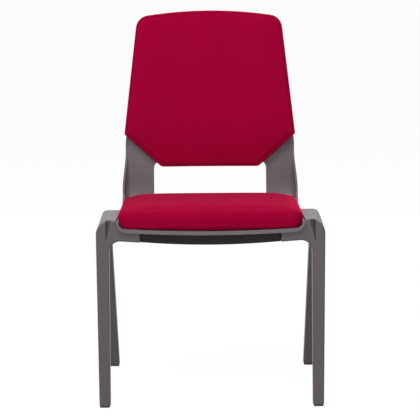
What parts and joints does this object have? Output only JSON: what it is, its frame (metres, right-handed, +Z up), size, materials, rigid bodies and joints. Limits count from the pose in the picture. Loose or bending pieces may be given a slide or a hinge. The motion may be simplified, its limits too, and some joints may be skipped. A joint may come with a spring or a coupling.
{
  "type": "visitor chair",
  "caption": "Four-legged visitor chair: forked moulded side frames, a one-piece seat and back shell with a lumbar opening, and upholstered seat and back pads.",
  "frame": {"origin": "on the floor, at the middle of the chair's length and width", "axes": "+Z up, +Y towards the back of the chair, +X to the right as seen from the front"},
  "size_m": [0.5184, 0.5242, 0.866],
  "materials": {
    "shell": "fine-grained warm anthracite moulding",
    "leg_frame": "fine-grained warm anthracite moulding",
    "cross_beam": "dark fine-grained moulding",
    "glide": "dull black",
    "bolt": "zinc plated",
    "insert": "turned",
    "board": "raw bent plywood",
    "foam": "open-cell foam",
    "cover": "woven crimson cloth",
    "screw": "black zinc",
    "tee_nut": "zinc plated"
  },
  "bodies": {
    "root": {"seat_back_shell": "shell", "left_leg_frame": "leg_frame", "right_leg_frame": "leg_frame", "front_cross_beam": "cross_beam", "rear_cross_beam": "cross_beam", "front_left_glide": "glide", "rear_left_glide": "glide", "front_right_glide": "glide", "rear_right_glide": "glide", "frame_bolts": "bolt", "shell_inserts": "insert", "seat_board": "board", "seat_foam": "foam", "seat_cover": "cover", "seat_screws": "screw", "seat_tee_nuts": "tee_nut", "back_board": "board", "back_foam": "foam", "back_cover": "cover", "back_screws": "screw"}
  },
  "joints": []
}
